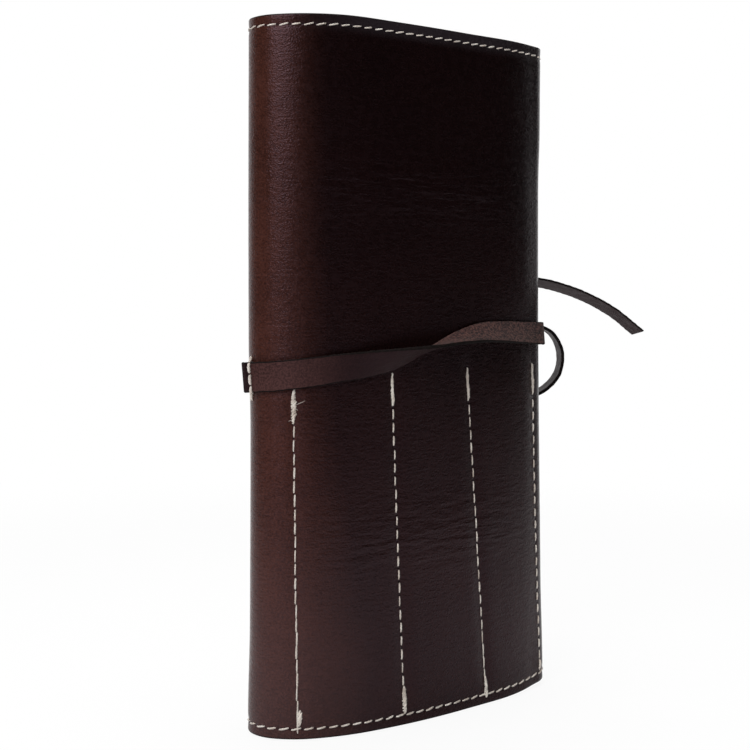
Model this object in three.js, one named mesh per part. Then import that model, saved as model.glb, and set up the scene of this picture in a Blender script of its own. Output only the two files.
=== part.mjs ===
// A leather crochet hook case that folds in three. The back cover, the front cover and the inner flap are one
// sheet, folded at the spine and at the far edge. Each cover has a row of sewn hook pockets inside, and a
// leather tie is sewn to the spine. Millimetres, +Z up: the case stands on its bottom edge, the front faces
// -Y and the spine is at -X.
import * as THREE from "three";

// The leather
const caseHeight = 200;
const coverThickness = 1.6;
const pocketThickness = 1.2;
const fitGap = 0.3; // between layers that lie on each other
const hingeGap = 0.15; // how far each half of a fold stops short of its fold line

// The folded sheet seen from above: where the spine line stands, and the bends and straights of each part
const spineX = -49.24;
const spineY = 2.53;
const frontSpineRadius = 11;
const backSpineRadius = 8;
const shoulderRadius = 24;
const frontEaseRadius = 55;
const frontBroadRadius = 200;
const frontFarRadius = 120;
const frontStraight = 8;
const foldRadius = 6.5;
const flapStraight = 40;
const backEaseRadius = 60;
const backBroadRadius = 600;
const backStraight = 28;
const frontStretches = [
  { radius: frontSpineRadius, turn: 40 },
  { radius: shoulderRadius, turn: 26 },
  { radius: frontEaseRadius, turn: 18 },
  { radius: frontBroadRadius, turn: 14 },
  { radius: frontFarRadius, turn: 5 },
  { straight: frontStraight },
  { radius: foldRadius, turn: 77 },
];
const flapStretches = [
  { radius: foldRadius, turn: 96 },
  { straight: flapStraight },
];
const backStretches = [
  { radius: backSpineRadius, turn: 40 },
  { radius: shoulderRadius, turn: 42 },
  { radius: backEaseRadius, turn: 16 },
  { radius: backBroadRadius, turn: 3 },
  { straight: backStraight },
];
const facetError = 0.03; // how far a flat facet may stand off the bend it is part of

// The pockets: each seam's place along its cover at its foot and at its head, and the height of its head
const pocketHeight = 100;
const pocketDepth = 6;
const pocketFloor = 7; // the pockets are sewn flat below this height
const pocketFull = 24; // and stand open to their full depth from here up
const seamLand = 1.5; // half the width that a seam holds flat
const pocketBorder = 2; // leather beyond the outermost seams
const archFacets = 8;
const frontSeams = [
  { foot: 14.4, head: 13.1, top: 95 },
  { foot: 47.2, head: 42.7, top: 99 },
  { foot: 78.7, head: 70.4, top: 99.5 },
  { foot: 104.6, head: 100.6, top: 99.5 },
];
const backSeams = [
  { foot: 18, head: 18, top: 94 },
  { foot: 41, head: 41, top: 94 },
  { foot: 64, head: 64, top: 94 },
  { foot: 87, head: 87, top: 94 },
];

// The strip that faces the top edge inside
const facingHeight = 16;
const facingInset = 3; // from the free edges
const facingFoldInset = 12; // from the fold lines

// The thread
const threadRadius = 0.35;
const edgeSeamInset = 3; // from the top and bottom edges
const seamFoot = 5;
const threadSides = 6;
const seamSteps = 6;

// The tie: a flat thong sewn to the spine. The front tail has a half twist, the back tail ends in a loose curl
const tieWidth = 8.4; // at the spine
const tieEndWidth = 7; // at the end of each tail
const tieThickness = 1;
const tieSewnLength = 5;
const tackAlong = 1.4; // the sewn row's place on the tie, from the spine line
const spineRoll = 7; // the tie leans out at its top where it rounds the spine
const frontTailEnd = 106.6;
const frontTailHeights = [99.5, 100.4, 101.6, 102.9, 104.4, 107, 109.8, 111.3, 111.2, 110.7, 110.2];
const frontTailRolls = [spineRoll, 2, 4, 16, 40, 75, 108, 135, 151, 165, 176];
const frontTailSteps = 56;
const backTailRise = { from: 99.5, to: 111.5 }; // height at the spine and at the back cover's free edge
const backTailSag = 5; // below a straight line between them, half-way
const backRootStart = 0.6; // from the spine line
const backRootEnd = 12; // the tail comes free of the spine's bend here
const backRootSteps = 10;
const backTailBentSteps = 5;
const backTailFlatSteps = 6;
const backTailSteps = 145;
// The curl, from where the tail leaves the back cover: x, y, height, how far it has turned on edge (0 to 1)
// and the compass angle of its width when on edge
const curl = [
  [51.1, 5.2, 111.8, 0.55, 70],
  [57.8, 3.2, 112.2, 1, 62],
  [62.8, 0.9, 109.9, 1, 60],
  [65.6, -0.7, 103.9, 1, 60],
  [64.8, -0.2, 96.4, 1, 60],
  [59.8, 2.9, 90.6, 1, 62],
  [50.6, 8.4, 88.2, 1, 68],
  [38.6, 12.7, 89, 1, 76],
  [26.6, 15.2, 94.2, 1, 80],
  [20.1, 16.4, 103, 1, 81],
  [19.6, 16.5, 112, 1, 81],
  [25.1, 15.5, 120.6, 1.02, 80],
  [35.6, 13.2, 126, 1.06, 76],
  [48.6, 9.4, 127.2, 1.12, 70],
  [61.6, 4.2, 126.2, 1.15, 68],
  [73.6, -0.8, 122.6, 1.14, 68],
  [84.6, -5.4, 116.8, 1.13, 68],
  [93.6, -9, 109.6, 1.13, 68],
];

const degrees = THREE.MathUtils.degToRad;
const leather = new THREE.MeshStandardMaterial({ color: 0x3a2420, roughness: 0.5 });
const lining = new THREE.MeshStandardMaterial({ color: 0x4a3128, roughness: 0.7 });
const thread = new THREE.MeshStandardMaterial({ color: 0xe6dcc4, roughness: 0.8 });

// A run of the folded sheet's outer face seen from above. side is 1 where the inside of the case is on the
// left of the way it runs and -1 where it is on the right.
function foldedRun(start, heading, side, stretches) {
  const legs = [];
  let [x, y, along] = [start.x, start.y, 0];
  for (const { radius, turn = 0, straight } of stretches) {
    const length = straight ?? radius * degrees(turn);
    const leg = { x, y, heading, along, length, turn, bend: turn ? side / radius : 0 };
    legs.push(leg);
    const end = onLeg(leg, length);
    [x, y, heading, along] = [end.x, end.y, end.heading, along + length];
  }
  return { side, legs, length: along, end: { x, y, heading } };
}

function onLeg(leg, distance) {
  const heading = leg.heading + leg.bend * distance;
  if (!leg.bend) {
    return {
      x: leg.x + distance * Math.cos(heading),
      y: leg.y + distance * Math.sin(heading),
      heading,
    };
  }
  return {
    x: leg.x + (Math.sin(heading) - Math.sin(leg.heading)) / leg.bend,
    y: leg.y - (Math.cos(heading) - Math.cos(leg.heading)) / leg.bend,
    heading,
  };
}

// The point at a distance along a run and a depth in from its outer face, and the directions there
function onRun(run, along, depth, height) {
  const leg = run.legs.findLast((each) => each.along <= along) ?? run.legs[0];
  const { x, y, heading } = onLeg(leg, along - leg.along);
  const out = new THREE.Vector3(Math.sin(heading), -Math.cos(heading), 0).multiplyScalar(run.side);
  const way = new THREE.Vector3(Math.cos(heading), Math.sin(heading), 0);
  return { at: new THREE.Vector3(x, y, height).addScaledVector(out, -depth), out, way };
}

// The places along a run from one distance to another that its bends need
function stations(run, from, to) {
  const places = [from];
  for (const leg of run.legs) {
    const facetTurn = 2 * Math.acos(1 - facetError * Math.abs(leg.bend));
    const facets = Math.max(1, Math.ceil(degrees(leg.turn) / (facetTurn || 1)));
    for (let i = 0; i <= facets; i++) {
      const place = leg.along + (leg.length * i) / facets;
      if (place > places.at(-1) + 0.2 && place < to - 0.2) places.push(place);
    }
  }
  return [...places, to];
}

// A flat band of the sheet between two depths and two heights
function band(run, [from, to], [outer, inner], [low, high]) {
  const places = stations(run, from, to);
  const face = (depth) => places.map((along) => onRun(run, along, depth, 0).at);
  const outline = [...face(outer), ...face(inner).reverse()];
  const shape = new THREE.Shape(outline.map(({ x, y }) => new THREE.Vector2(x, y)));
  const solid = new THREE.ExtrudeGeometry(shape, { depth: high - low, bevelEnabled: false });
  return solid.translate(0, 0, low);
}

// A closed solid through rings of points, each with the same number of points
function loft(rings, cap) {
  const count = rings[0].length;
  const faces = [];
  const last = (rings.length - 1) * count;
  for (let r = 0; r < rings.length - 1; r++) {
    for (let i = 0; i < count; i++) {
      const [a, b] = [r * count + i, r * count + ((i + 1) % count)];
      faces.push(a, b, b + count, a, b + count, a + count);
    }
  }
  for (const [a, b, c] of cap) {
    faces.push(c, b, a, last + a, last + b, last + c);
  }
  const solid = new THREE.BufferGeometry().setFromPoints(rings.flat());
  return solid.setIndex(faces);
}

// A constant section swept along stations, each with its point and the directions across and out
function sweep(path, section) {
  const rings = path.map(({ at, across, out }) =>
    section.map(([u, v]) => at.clone().addScaledVector(across, u).addScaledVector(out, v)),
  );
  const fan = section.slice(2).map((_, i) => [0, i + 1, i + 2]);
  return loft(rings, fan);
}

const threadSection = Array.from({ length: threadSides }, (_, i) => {
  const angle = (2 * Math.PI * i) / threadSides;
  return [threadRadius * Math.cos(angle), threadRadius * Math.sin(angle)];
});
const tieSection = [
  [-tieWidth / 2, -tieThickness / 2],
  [tieWidth / 2, -tieThickness / 2],
  [tieWidth / 2, tieThickness / 2],
  [-tieWidth / 2, tieThickness / 2],
];
const up = new THREE.Vector3(0, 0, 1);

// One hook pocket: a strip of leather inside a cover, arched between two seams and flat at its foot. before and
// after are how far it reaches past each seam.
function pocket(run, seams, before, after) {
  const outline = (height, depth) => {
    const level = height / pocketHeight;
    const [first, last] = seams.map(({ foot, head }) => THREE.MathUtils.lerp(foot, head, level));
    const width = last - first - 2 * seamLand;
    const profile = [[first - before, 0]];
    for (let k = 0; k <= archFacets; k++) {
      const along = first + seamLand + (width * k) / archFacets;
      profile.push([along, depth * Math.sin((Math.PI * k) / archFacets)]);
    }
    profile.push([last + after, 0]);
    const lies = coverThickness + fitGap;
    const outer = profile.map(([along, lift]) => onRun(run, along, lies + lift, height).at);
    const inner = profile.map(([along, lift]) => onRun(run, along, lies + pocketThickness + lift, height).at);
    const ring = [...outer, ...inner.reverse()];
    return run.side > 0 ? ring : ring.reverse();
  };
  const rings = [
    outline(0, 0),
    outline(pocketFloor, 0),
    outline(pocketFull, pocketDepth),
    outline(pocketHeight, pocketDepth),
  ];
  const flat = rings[0].map(({ x, y }) => new THREE.Vector2(x, y));
  return loft(rings, THREE.ShapeUtils.triangulateShape(flat, []));
}

// A thread along a cover at one height, and a thread up a cover along a pocket seam
function edgeThread(run, from, to, height) {
  const path = stations(run, from, to).map((along) => {
    const { at, out } = onRun(run, along, -fitGap - threadRadius, height);
    return { at, across: up, out };
  });
  return sweep(run.side > 0 ? path : path.reverse(), threadSection);
}

function seamThread(run, { foot, head, top }) {
  const path = Array.from({ length: seamSteps + 1 }, (_, i) => {
    const height = THREE.MathUtils.lerp(seamFoot, top, i / seamSteps);
    const along = THREE.MathUtils.lerp(foot, head, height / pocketHeight);
    const { at, out, way } = onRun(run, along, -fitGap - threadRadius, height);
    return { at, across: way, out };
  });
  return sweep(run.side > 0 ? path.reverse() : path, threadSection);
}

// The front tail: its height and its roll about its own length are given at even steps from the spine
const frontTailShape = new THREE.CatmullRomCurve3(
  frontTailHeights.map((height, i) => new THREE.Vector3(height, frontTailRolls[i], 0)),
);

// The tie's width at a share of the way along a tail, against its width at the spine
function narrowing(share) {
  return THREE.MathUtils.lerp(1, tieEndWidth / tieWidth, share);
}

function onFrontTail(run, along) {
  const share = along / frontTailEnd;
  const { x: height, y: roll } = frontTailShape.getPoint(share);
  return rolled(run, along, height, degrees(roll), narrowing(share));
}

// A station of the tie on a cover, leaning by its roll and just clear of the leather
function rolled(run, along, height, roll, narrow) {
  const [c, s] = [Math.cos(roll), Math.sin(roll)];
  const clear = fitGap + (tieWidth / 2) * narrow * Math.abs(s) + (tieThickness / 2) * Math.abs(c);
  const { at, out, way } = onRun(run, along, -clear, height);
  const across = up.clone().multiplyScalar(c).addScaledVector(out, s).multiplyScalar(narrow);
  const face = out.clone().multiplyScalar(c).addScaledVector(up, -s);
  return { at, across, out: face, way };
}

function frontTail(run, from, to, steps) {
  const path = Array.from({ length: steps + 1 }, (_, i) =>
    onFrontTail(run, THREE.MathUtils.lerp(from, to, i / steps)),
  );
  return sweep(path, tieSection);
}

// The tie's place on the back cover at a distance from the spine line, and how steeply it climbs there
function onBackCover(run, along) {
  const share = along / run.length;
  const straight = THREE.MathUtils.lerp(backTailRise.from, backTailRise.to, share);
  const height = straight - 4 * backTailSag * share * (1 - share);
  const climb = (backTailRise.to - backTailRise.from - 4 * backTailSag * (1 - 2 * share)) / run.length;
  const roll = spineRoll * Math.max(0, 1 - along / backRootEnd);
  return { ...rolled(run, along, height, degrees(roll), 1), climb };
}

// A station of the tie, whose width lies as near to wide as its way allows
function tieStation(at, way, wide, narrow) {
  const across = wide.clone().addScaledVector(way, -wide.dot(way)).normalize();
  const out = new THREE.Vector3().crossVectors(way, across);
  return { at, across: across.multiplyScalar(narrow), out };
}

// The root of the back tail, around the spine's bend
function backRoot(run) {
  const path = Array.from({ length: backRootSteps + 1 }, (_, i) => {
    const along = THREE.MathUtils.lerp(backRootStart, backRootEnd - hingeGap, i / backRootSteps);
    const { at, across, way, climb } = onBackCover(run, along);
    return tieStation(at, way.addScaledVector(up, climb).normalize(), across, 1);
  });
  return sweep(path, tieSection);
}

// The back tail: flat along the back cover, then free, turning on edge for its curl
function backTail(run) {
  const points = [];
  const widths = [];
  const places = [];
  const bent = run.legs[2].along;
  for (let i = 0; i < backTailBentSteps; i++) {
    places.push(THREE.MathUtils.lerp(backRootEnd + hingeGap, bent, i / backTailBentSteps));
  }
  for (let i = 0; i <= backTailFlatSteps; i++) {
    places.push(THREE.MathUtils.lerp(bent, run.length - 1, i / backTailFlatSteps));
  }
  for (const along of places) {
    points.push(onBackCover(run, along).at);
    widths.push(up);
  }
  for (const [x, y, height, onEdge, compass] of curl) {
    const quarter = (onEdge * Math.PI) / 2;
    const level = new THREE.Vector3(Math.cos(degrees(compass)), Math.sin(degrees(compass)), 0);
    points.push(new THREE.Vector3(x, y, height));
    widths.push(level.multiplyScalar(Math.sin(quarter)).addScaledVector(up, Math.cos(quarter)));
  }
  const middle = new THREE.CatmullRomCurve3(points);
  const turning = new THREE.CatmullRomCurve3(widths);
  const path = Array.from({ length: backTailSteps + 1 }, (_, i) => {
    const share = i / backTailSteps;
    return tieStation(
      middle.getPoint(share),
      middle.getTangent(share),
      turning.getPoint(share),
      narrowing(share),
    );
  });
  return sweep(path, tieSection);
}

const spine = new THREE.Vector2(spineX, spineY);
const front = foldedRun(spine, degrees(-90), 1, frontStretches);
const flap = foldedRun(front.end, front.end.heading, 1, flapStretches);
const back = foldedRun(spine, degrees(90), -1, backStretches);

const runs = { front: [front, front.length - hingeGap], flap: [flap, flap.length], back: [back, back.length] };
const coverNames = { front: "front_cover", flap: "inner_flap", back: "back_cover" };
const root = new THREE.Group();

function add(name, geometry, material) {
  const mesh = new THREE.Mesh(geometry, material);
  mesh.name = name;
  root.add(mesh);
}

for (const [name, [run, end]] of Object.entries(runs)) {
  const faced = coverThickness + fitGap;
  const facing = [facingFoldInset, run.length - (name === "front" ? facingFoldInset : facingInset)];
  add(coverNames[name], band(run, [hingeGap, end], [0, coverThickness], [0, caseHeight]), leather);
  add(
    `${name}_facing`,
    band(run, facing, [faced, faced + pocketThickness], [caseHeight - facingHeight, caseHeight]),
    lining,
  );
  add(`${name}_top_thread`, edgeThread(run, hingeGap, end - hingeGap, caseHeight - edgeSeamInset), thread);
  add(`${name}_bottom_thread`, edgeThread(run, hingeGap, end - hingeGap, edgeSeamInset), thread);
}
for (const [name, run, seams] of [["front", front, frontSeams], ["back", back, backSeams]]) {
  const shared = -fitGap / 2; // two pockets meet under one seam
  const lastPocket = seams.length - 2;
  for (let i = 0; i <= lastPocket; i++) {
    const before = i === 0 ? pocketBorder : shared;
    const after = i === lastPocket ? pocketBorder : shared;
    add(`${name}_pocket_panel_${i + 1}`, pocket(run, seams.slice(i, i + 2), before, after), lining);
  }
  seams.forEach((seam, i) => add(`${name}_seam_thread_${i + 1}`, seamThread(run, seam), thread));
}
add("tie_sewn_part", frontTail(front, hingeGap, tieSewnLength - hingeGap, 4), leather);
add("tie_front_tail", frontTail(front, tieSewnLength + hingeGap, frontTailEnd, frontTailSteps), leather);
add("tie_back_root", backRoot(back), leather);
add("tie_back_tail", backTail(back), leather);

const tackReach = tieWidth / 2 - threadRadius;
const tack = [tackReach, -tackReach].map((side) => {
  const { at, across, out, way } = onFrontTail(front, tackAlong);
  at.addScaledVector(across, side).addScaledVector(out, tieThickness / 2 + fitGap + threadRadius);
  return { at, across: way, out };
});
add("tie_tack_thread", sweep(tack, threadSection), thread);

export default root;
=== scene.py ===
# A dark brown leather crochet hook case, standing closed with its tie around it. Sizes are in millimetres and
# turn into metres where a mesh is made. The case is one sheet of leather, folded at the spine and at the far
# edge. A place on it is a distance t along the sheet, 0 at the spine line and negative on the back cover, and
# a height z.
import math
import random

import bmesh
import bpy
import numpy as np
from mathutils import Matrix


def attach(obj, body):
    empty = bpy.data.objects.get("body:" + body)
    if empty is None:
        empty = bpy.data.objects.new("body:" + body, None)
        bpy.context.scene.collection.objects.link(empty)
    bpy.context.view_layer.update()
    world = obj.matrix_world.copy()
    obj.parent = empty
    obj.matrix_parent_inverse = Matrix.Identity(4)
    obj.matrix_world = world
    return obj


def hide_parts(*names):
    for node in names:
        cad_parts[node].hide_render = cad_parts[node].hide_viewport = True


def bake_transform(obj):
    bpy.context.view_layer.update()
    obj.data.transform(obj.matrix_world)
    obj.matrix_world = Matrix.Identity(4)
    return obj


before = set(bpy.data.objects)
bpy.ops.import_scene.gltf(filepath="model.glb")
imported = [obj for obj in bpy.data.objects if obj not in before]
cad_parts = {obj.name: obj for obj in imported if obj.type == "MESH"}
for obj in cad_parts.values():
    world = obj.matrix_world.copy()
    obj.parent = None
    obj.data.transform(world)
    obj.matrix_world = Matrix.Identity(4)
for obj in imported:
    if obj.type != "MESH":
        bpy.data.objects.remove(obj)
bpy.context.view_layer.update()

MM = 0.001

# The leather and its folds, as in the solids: (radius, degrees) for a bend, (None, length) for a straight
CASE_HEIGHT = 200
COVER_THICKNESS = 1.6
POCKET_THICKNESS = 1.2
FIT_GAP = 0.3
LINING_DEPTH = COVER_THICKNESS + FIT_GAP
LAYERED_DEPTH = LINING_DEPTH + POCKET_THICKNESS
SPINE = (-49.24, 2.53)
FRONT_STRETCHES = [(11, 40), (24, 26), (55, 18), (200, 14), (120, 5), (None, 8), (6.5, 77)]
FLAP_STRETCHES = [(6.5, 96), (None, 40)]
BACK_STRETCHES = [(8, 40), (24, 42), (60, 16), (600, 3), (None, 28)]
# Where the sheet is split into three pieces
T_BACK_SPLIT = -52.5
T_FOLD_SPLIT = 97
SPINE_BEND = ("back_cover", "front_cover", (SPINE[0], 12, 0), (SPINE[0], -3, 0))
FOLD_BEND = ("front_cover", "inner_flap", (49.6, -9.65, 0), (48.6, 0.3, 0))

# The leather's relief, as depth and reach: a valley along a seam, the welt beside it, a groove at an edge row
SEAM_VALLEY = (0.32, 1.9)
SEAM_WELT = (0.1, 3.2)
WELT_OFFSET = 5
EDGE_GROOVE = (0.16, 1.1)
LAST_SEAM_SHARE = 0.3
SHOULDER = 0.7
CORNER = 0.6
SPINE_DRAW = 0.45

# The pockets and their seams: places along the cover at the foot and the head, and the height of the head
POCKET_HEIGHT = 100
POCKET_DEPTH = 6
POCKET_FLOOR = 7
POCKET_FULL = 24
SEAM_LAND = 1.5
POCKET_BORDER = 2
POCKET_STEPS = 22
FRONT_SEAMS = [(14.4, 13.1, 95), (47.2, 42.7, 99), (78.7, 70.4, 99.5), (104.6, 100.6, 99.5)]
BACK_SEAMS = [(18, 18, 94), (41, 41, 94), (64, 64, 94), (87, 87, 94)]
SEAM_FOOT = 5

# The strip that faces the top edge inside
FACING_HEIGHT = 16
FACING_INSET = 3
FACING_FOLD_INSET = 12

# The stitches
EDGE_SEAM_INSET = 3
EDGE_ROWS = (EDGE_SEAM_INSET, CASE_HEIGHT - EDGE_SEAM_INSET)
EDGE_PITCH = 3.5
EDGE_STITCH = 2.9
EDGE_SLANT = 0.5
EDGE_ROW_INSET = 3
SEAM_PITCH = 3.8
# Each seam's stitch length, the height below which its stitches run on without a gap, and its thread's radius
FRONT_SEAM_STITCHES = [(3.5, 40, 0.24), (3, 0, 0.24), (3.3, 22, 0.21), (2.8, 0, 0.25)]
BACK_SEAM_STITCHES = (3, 0, 0.25)
RUN_ON_OVERLAP = 0.5
# The knotted ends of each seam: the head's width, then the foot's width, its offset to one side, its lowest
# and highest point, and where the thread under it ends
FRONT_TACKS = [
    (1.7, 1.5, 0.6, 4.2, 7.8, 1.2),
    (0.9, 1.5, 0.1, 3.8, 10.6, 3),
    (0.75, 1.1, 0, 2.4, 8, 1.6),
    (0.8, 1, 0, 4.8, 6.4, 3.4),
]
BACK_TACKS = (1.1, 1.3, 0, 4, 9, 3)
HEAD_LENGTH = 8.5
TACK_SPACING = 0.66
# Loose fibres beside the first seam's head: height below its top, direction and length
HEAD_FIBRES = [(3.8, 1, 0.4, 2.6), (4, 0.5, -1, 1.4), (8, -1, -0.2, 0.7)]
THREAD_RADIUS = 0.25
TOP_THREAD_RADIUS = 0.21
TACK_THREAD_RADIUS = 0.26
INNER_THREAD_RADIUS = 0.26
FIBRE_RADIUS = 0.06
PLY_DEPTH = 0.16
# How far out from its face of the leather the middle of a stitch lies, and how far in its ends lie
EDGE_LIFT = 0.12
SEAM_LIFT = 0.1
INNER_LIFT = 0.05
TACK_LIFT = 0.32
UNDER_TACK_LIFT = 0.06
STITCH_SINK = 0.42
STITCH_STEPS = 11

# The tie
TIE_WIDTH = 8.4
TIE_END_WIDTH = 7
TIE_THICKNESS = 1
TIE_CORNER = 0.35
TIE_END_THINNED = 0.6
TIE_SEWN_LENGTH = 5
TACK_ALONG = 1.4
TACK_ON_LEATHER = -0.8
TIE_TACK_RADIUS = 0.42
TACK_STITCHES = [(105.2, 103.7), (103.6, 101), (100.4, 97.6), (97.2, 94.4), (95.2, 93)]
SPINE_ROLL = 7
FRONT_TAIL_END = 106.6
FRONT_TAIL_HEIGHTS = [99.5, 100.4, 101.6, 102.9, 104.4, 107, 109.8, 111.3, 111.2, 110.7, 110.2]
FRONT_TAIL_ROLLS = [SPINE_ROLL, 2, 4, 16, 40, 75, 108, 135, 151, 165, 176]
BACK_TAIL_RISE = (99.5, 111.5)
BACK_TAIL_SAG = 5
BACK_ROOT_END = 12
TAIL_TILT = 0.06
# The curl: x, y, height, how far it has turned on edge and the compass angle of its width when on edge
CURL = [
    (51.1, 5.2, 111.8, 0.55, 70),
    (57.8, 3.2, 112.2, 1, 62),
    (62.8, 0.9, 109.9, 1, 60),
    (65.6, -0.7, 103.9, 1, 60),
    (64.8, -0.2, 96.4, 1, 60),
    (59.8, 2.9, 90.6, 1, 62),
    (50.6, 8.4, 88.2, 1, 68),
    (38.6, 12.7, 89, 1, 76),
    (26.6, 15.2, 94.2, 1, 80),
    (20.1, 16.4, 103, 1, 81),
    (19.6, 16.5, 112, 1, 81),
    (25.1, 15.5, 120.6, 1.02, 80),
    (35.6, 13.2, 126, 1.06, 76),
    (48.6, 9.4, 127.2, 1.12, 70),
    (61.6, 4.2, 126.2, 1.15, 68),
    (73.6, -0.8, 122.6, 1.14, 68),
    (84.6, -5.4, 116.8, 1.13, 68),
    (93.6, -9, 109.6, 1.13, 68),
]

# The camera, from the photograph's perspective
CAMERA_PLACE = (-236.7, -313.6, 123.7)
CAMERA_COMPASS = 36
CAMERA_LENS = 63
HORIZON_ABOVE_MIDDLE = 84.5 / 750


# The folded sheet

def add_legs(legs, start, heading, side, stretches):
    """Adds a run's legs, each (t, x, y, heading, bend) as t grows, and gives the run's end."""
    x, y = start
    along = 0.0
    for radius, amount in stretches:
        bend = 0.0 if radius is None else side / radius
        length = amount if radius is None else radius * math.radians(amount)
        turned = heading + bend * length
        if bend:
            end_x = x + (math.sin(turned) - math.sin(heading)) / bend
            end_y = y - (math.cos(turned) - math.cos(heading)) / bend
        else:
            end_x = x + length * math.cos(heading)
            end_y = y + length * math.sin(heading)
        if side > 0:
            legs.append((along, x, y, heading, bend))
        else:
            legs.append((-along - length, end_x, end_y, turned + math.pi, -bend))
        x, y, heading, along = end_x, end_y, turned, along + length
    return (x, y), heading, along


back_legs = []
T_BACK_EDGE = -add_legs(back_legs, SPINE, math.radians(90), -1, BACK_STRETCHES)[2]
front_legs = []
fold_point, fold_heading, T_FOLD = add_legs(front_legs, SPINE, math.radians(-90), 1, FRONT_STRETCHES)
flap_legs = []
T_FLAP_EDGE = T_FOLD + add_legs(flap_legs, fold_point, fold_heading, 1, FLAP_STRETCHES)[2]
flap_legs = [(t + T_FOLD, *rest) for t, *rest in flap_legs]
SHEET = np.array(sorted(back_legs) + front_legs + flap_legs)


def on_sheet(t):
    """x and y of the sheet's outer face at t, and the outward direction there."""
    t = np.asarray(t, float)
    leg = np.clip(np.searchsorted(SHEET[:, 0], t, side="right") - 1, 0, len(SHEET) - 1)
    start, x, y, heading, bend = np.moveaxis(SHEET[leg], -1, 0)
    run = t - start
    turned = heading + bend * run
    curved = np.where(bend == 0, 1, bend)
    x = x + np.where(bend == 0, run * np.cos(heading), (np.sin(turned) - np.sin(heading)) / curved)
    y = y + np.where(bend == 0, run * np.sin(heading), (np.cos(heading) - np.cos(turned)) / curved)
    return x, y, np.sin(turned), -np.cos(turned)


def smooth(low, high, value):
    """0 below low, 1 above high, and an even S between them."""
    share = np.clip((value - low) / (high - low), 0, 1)
    return share * share * (3 - 2 * share)


def hill(value, middle, reach):
    """1 at the middle, fading to almost nothing at twice the reach from it."""
    return np.exp(-(((value - middle) / reach) ** 2))


def seam_place(seam, z):
    foot, head, _ = seam
    return foot + (head - foot) * z / POCKET_HEIGHT


def cover_seams():
    """Every pocket seam as (foot, head, top), with foot and head as t."""
    yield from FRONT_SEAMS
    for foot, head, top in BACK_SEAMS:
        yield -foot, -head, top


def relief(t, z):
    """How far the leather stands out from the plain folded form: seam valleys, edge grooves, soft waves."""
    height = 0.16 * np.sin(t / 17 + 0.6) * np.sin(z / 31 + 0.4) + 0.1 * np.sin(t / 9 - z / 23 + 2)
    for seam in cover_seams():
        across = t - seam_place(seam, z)
        held = smooth(1, 9, z) - smooth(seam[2] - 2, seam[2] + 7, z)
        held = held * (LAST_SEAM_SHARE if seam is FRONT_SEAMS[-1] else 1.0)
        height = height - SEAM_VALLEY[0] * held * hill(across, 0, SEAM_VALLEY[1])
        height = height + SEAM_WELT[0] * held * hill(np.abs(across), WELT_OFFSET, SEAM_WELT[1])
    for row in EDGE_ROWS:
        height = height - EDGE_GROOVE[0] * hill(z, row, EDGE_GROOVE[1])
    return height + fold_relief(t, z) - tied_spine(t, z)


def fold_relief(t, z):
    """The far fold: a round shoulder before it, a waist at the tie, and a sharp corner at the bottom."""
    shoulder = SHOULDER * smooth(T_FOLD - 42, T_FOLD - 20, t) * (1 - smooth(T_FOLD - 17, T_FOLD - 5, t))
    waist = 0.45 * np.cos((z - 20) / 38) - 0.1 + 0.55 * smooth(155, 175, z)
    corner = CORNER * (1 - smooth(0, 35, z))
    pressed = 1 - hill(z, FRONT_TAIL_HEIGHTS[-1], 10)
    return shoulder * pressed + waist * hill(t, T_FOLD, 9) + corner * hill(t, T_FOLD - 4, 5)


def tied_spine(t, z):
    """How far the spine draws in below the tie."""
    return SPINE_DRAW * (smooth(5, 30, z) - smooth(85, 110, z)) * hill(t, -4, 6)


def edge_stray(t, z):
    """How far the long edges stray from straight, fading towards the middle of the cover."""
    top = 0.35 * hill(t, 28, 13) - 0.25 * hill(t, 72, 18)
    bottom = 1.5 * hill(t, T_FOLD, 14)
    return top * smooth(150, CASE_HEIGHT, z) + bottom * (1 - smooth(0, 40, z))


def cover_skin(t, z, depth):
    """Points of the leather at a depth in from its outer face."""
    t, z, depth = np.broadcast_arrays(t, z, depth)
    x, y, out_x, out_y = on_sheet(t)
    stands = relief(t, z) - depth
    return np.stack([x + out_x * stands, y + out_y * stands, z + edge_stray(t, z)], -1)


def outward(t):
    """The directions out of the leather at t."""
    _, _, out_x, out_y = on_sheet(t)
    return np.stack([out_x, out_y, 0 * out_x], -1)


# Meshes

def add_object(name, data):
    made = bpy.data.objects.new(name, data)
    bpy.context.collection.objects.link(made)
    return made


def make_piece(name, points, faces, materials, slots=None, uvs=None, caps=0):
    """A smooth closed mesh from points in millimetres, with the points' coordinates in each UV layer.

    The last faces, caps of them, close its ends, and their borders stay sharp."""
    mesh = bpy.data.meshes.new(name)
    mesh.from_pydata((points.reshape(-1, 3) * MM).tolist(), [], faces)
    for material in materials:
        mesh.materials.append(material)
    if slots is not None:
        mesh.polygons.foreach_set("material_index", slots)
    for layer_name, values in (uvs or {}).items():
        layer = mesh.uv_layers.new(name=layer_name)
        corner = np.empty(len(mesh.loops), int)
        mesh.loops.foreach_get("vertex_index", corner)
        layer.data.foreach_set("uv", np.asarray(values, np.float32)[corner].ravel())
    mesh.polygons.foreach_set("use_smooth", [True] * len(mesh.polygons))
    work = bmesh.new()
    work.from_mesh(mesh)
    bmesh.ops.recalc_face_normals(work, faces=work.faces)
    work.faces.ensure_lookup_table()
    for face in work.faces[len(faces) - caps:]:
        for edge in face.edges:
            edge.smooth = False
    work.to_mesh(mesh)
    work.free()
    return add_object(name, mesh)


# How far a sheet's rims are rounded, and the material slots of its faces
RIM = 0.4
RIM_STEPS = 5
OUTER, EDGE, INNER = 0, 1, 2


def uv_map(along, up):
    """The UV layer of points that lie at along and up."""
    return {"UVMap": np.stack(np.broadcast_arrays(along, up), -1).reshape(-1, 2) * MM}


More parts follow.
